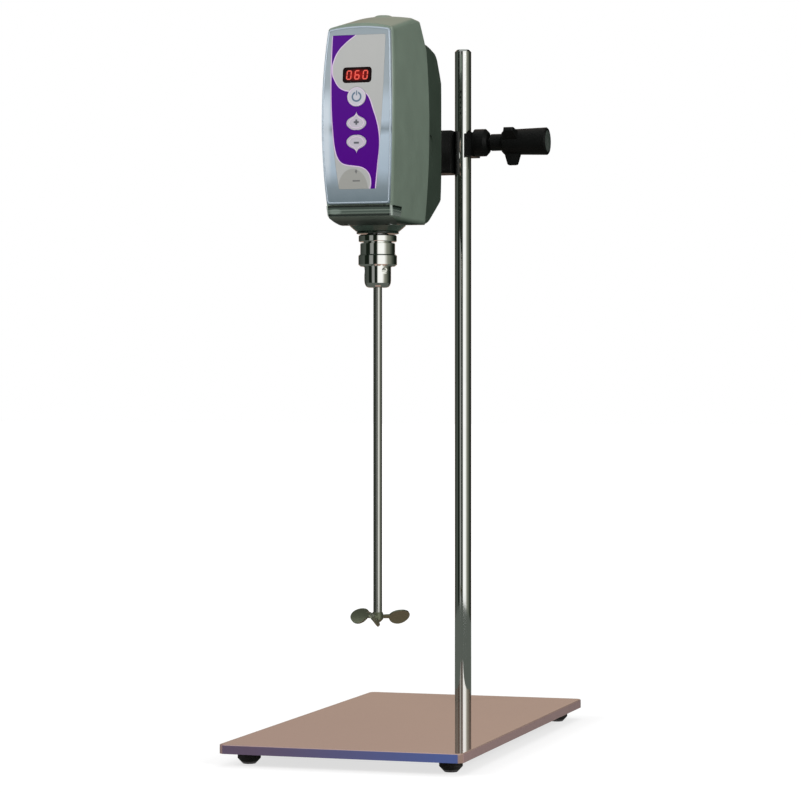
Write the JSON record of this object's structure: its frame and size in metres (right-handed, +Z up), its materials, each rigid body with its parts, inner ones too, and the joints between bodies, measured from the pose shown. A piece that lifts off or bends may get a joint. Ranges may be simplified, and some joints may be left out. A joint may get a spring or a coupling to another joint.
{
  "type": "overhead stirrer",
  "caption": "Laboratory overhead stirrer: slim motor head with keypad, keyed chuck and propeller shaft, clamped by a boss head to an upright rod on a rectangular base plate",
  "frame": {"origin": "on the floor, under the middle of the base plate", "axes": "+Z up, the keypad faces -Y, +X is to the right of a person facing the keypad"},
  "size_m": [0.216, 0.43, 0.6629],
  "materials": {
    "plate_enamel": "gloss",
    "black_rubber": "matte",
    "zinc_steel": "satin",
    "polished_rod": "gloss",
    "black_enamel": "satin",
    "black_steel": "satin",
    "brass_pad": "satin",
    "black_grip": "satin",
    "grey_cap": "matte",
    "casing_green": "gloss",
    "bezel_silver": "satin",
    "chin_dark": "gloss",
    "overlay_print": "satin",
    "window_red": "gloss",
    "display_black": "gloss",
    "key_light": "satin",
    "board_green": "satin",
    "switch_black": "matte",
    "neck_enamel": "gloss",
    "cast_aluminium": "matte",
    "bearing_steel": "gloss",
    "shaft_steel": "gloss",
    "gear_plastic": "satin",
    "motor_steel": "satin",
    "bush_bronze": "satin",
    "magnet_grey": "matte",
    "inlet_black": "satin",
    "inlet_brass": "gloss",
    "chuck_chrome": "gloss",
    "stirrer_steel": "gloss"
  },
  "bodies": {
    "stand": {"base_plate": "plate_enamel", "rubber_feet": "black_rubber", "foot_screws": "zinc_steel", "support_rod": "polished_rod", "rod_washer": "zinc_steel", "rod_nut": "zinc_steel"},
    "clamp": {"boss_head": "black_enamel"},
    "rod_lock": {"rod_lock_pad": "brass_pad"},
    "rod_knob": {"rod_lock_screw": "black_steel", "rod_lock_knob": "black_grip", "rod_lock_knob_cap": "grey_cap"},
    "arm_lock": {"arm_lock_pad": "brass_pad"},
    "arm_knob": {"arm_lock_screw": "black_steel", "arm_lock_knob": "black_grip", "arm_lock_knob_cap": "grey_cap"},
    "head": {"support_arm": "polished_rod", "arm_screws": "zinc_steel", "arm_backing_plate": "zinc_steel", "front_shell": "casing_green", "rear_cover": "casing_green", "case_screws": "zinc_steel", "top_plug": "grey_cap", "bezel": "bezel_silver", "chin_trim": "chin_dark", "membrane_overlay": "overlay_print", "display_window": "window_red", "display_module": "display_black", "control_board": "board_green", "board_screws": "zinc_steel", "key_switches": "switch_black", "neck": "neck_enamel", "neck_screws": "zinc_steel", "shaft_seal": "black_rubber", "gearbox_housing": "cast_aluminium", "gearbox_cover": "cast_aluminium", "gearbox_screws": "zinc_steel", "frame_screws": "zinc_steel", "bearing_outer_rings": "bearing_steel", "motor_can": "motor_steel", "motor_end_cap": "motor_steel", "motor_bushes": "bush_bronze", "motor_magnet": "magnet_grey", "power_inlet": "inlet_black", "inlet_pin": "inlet_brass", "inlet_nut": "zinc_steel"},
    "output": {"spindle": "shaft_steel", "spindle_gear": "gear_plastic", "bearing_inner_rings": "bearing_steel", "chuck_body": "chuck_chrome"},
    "rotor": {"motor_rotor": "motor_steel", "motor_pinion": "shaft_steel"},
    "sleeve": {"chuck_sleeve": "chuck_chrome"},
    "jaw_one": {"chuck_jaw_1": "shaft_steel"},
    "jaw_two": {"chuck_jaw_2": "shaft_steel"},
    "jaw_three": {"chuck_jaw_3": "shaft_steel"},
    "stirrer": {"stirring_shaft": "stirrer_steel", "propeller": "stirrer_steel"},
    "power_key": {"key_power": "key_light"},
    "up_key": {"key_up": "key_light"},
    "down_key": {"key_down": "key_light"}
  },
  "joints": [
    {"name": "clamp_height", "type": "slide", "parent": "stand", "child": "clamp", "axis": [0, 0, 1], "range_m": [-0.045, 0.07]},
    {"name": "rod_lock_travel", "type": "slide", "parent": "clamp", "child": "rod_lock", "axis": [1, 0, 0], "range_m": [0, 0.0025]},
    {"name": "rod_lock_turn", "type": "hinge", "parent": "rod_lock", "child": "rod_knob", "pos_m": [0.008, 0.171, 0.559], "axis": [1, 0, 0], "range_deg": [0, 720]},
    {"name": "arm_lock_travel", "type": "slide", "parent": "clamp", "child": "arm_lock", "axis": [-1, 0, 0], "range_m": [0, 0.0025]},
    {"name": "arm_lock_turn", "type": "hinge", "parent": "arm_lock", "child": "arm_knob", "pos_m": [-0.0292, 0.171, 0.55], "axis": [-1, 0, 0], "range_deg": [0, 720]},
    {"name": "head_tilt", "type": "hinge", "parent": "clamp", "child": "head", "pos_m": [-0.0292, 0.171, 0.55], "axis": [0, 1, 0], "range_deg": [-90, 90]},
    {"name": "output_turn", "type": "hinge", "parent": "head", "child": "output", "pos_m": [-0.0292, -0.012, 0.45], "axis": [0, 0, 1], "continuous": true},
    {"name": "rotor_turn", "type": "hinge", "parent": "head", "child": "rotor", "pos_m": [-0.0292, 0.0204, 0.55], "axis": [0, 0, 1], "continuous": true},
    {"name": "sleeve_turn", "type": "hinge", "parent": "output", "child": "sleeve", "pos_m": [-0.0292, -0.012, 0.44], "axis": [0, 0, 1], "range_deg": [0, 540]},
    {"name": "jaw_one_travel", "type": "slide", "parent": "output", "child": "jaw_one", "axis": [0.1966, 0.0677, 0.9781], "range_m": [0, 0.0048]},
    {"name": "jaw_two_travel", "type": "slide", "parent": "output", "child": "jaw_two", "axis": [-0.1569, 0.1364, 0.9781], "range_m": [0, 0.0048]},
    {"name": "jaw_three_travel", "type": "slide", "parent": "output", "child": "jaw_three", "axis": [-0.0397, -0.2041, 0.9781], "range_m": [0, 0.0048]},
    {"name": "stirrer_slide", "type": "slide", "parent": "output", "child": "stirrer", "axis": [0, 0, -1], "range_m": [0, 0.03]},
    {"name": "power_key_press", "type": "slide", "parent": "head", "child": "power_key", "axis": [0, 1, 0], "range_m": [0, 0.00045], "stiffness_N_per_m": 400},
    {"name": "up_key_press", "type": "slide", "parent": "head", "child": "up_key", "axis": [0, 1, 0], "range_m": [0, 0.00045], "stiffness_N_per_m": 400},
    {"name": "down_key_press", "type": "slide", "parent": "head", "child": "down_key", "axis": [0, 1, 0], "range_m": [0, 0.00045], "stiffness_N_per_m": 400}
  ],
  "couplings": [
    {"joint": "rod_lock_turn", "follows": "rod_lock_travel", "rad_per_m": 5026.5},
    {"joint": "arm_lock_turn", "follows": "arm_lock_travel", "rad_per_m": 5026.5},
    {"joint": "rotor_turn", "follows": "output_turn", "ratio": -2.375},
    {"joint": "jaw_one_travel", "follows": "sleeve_turn", "m_per_rad": 0.0005093},
    {"joint": "jaw_two_travel", "follows": "sleeve_turn", "m_per_rad": 0.0005093},
    {"joint": "jaw_three_travel", "follows": "sleeve_turn", "m_per_rad": 0.0005093}
  ]
}
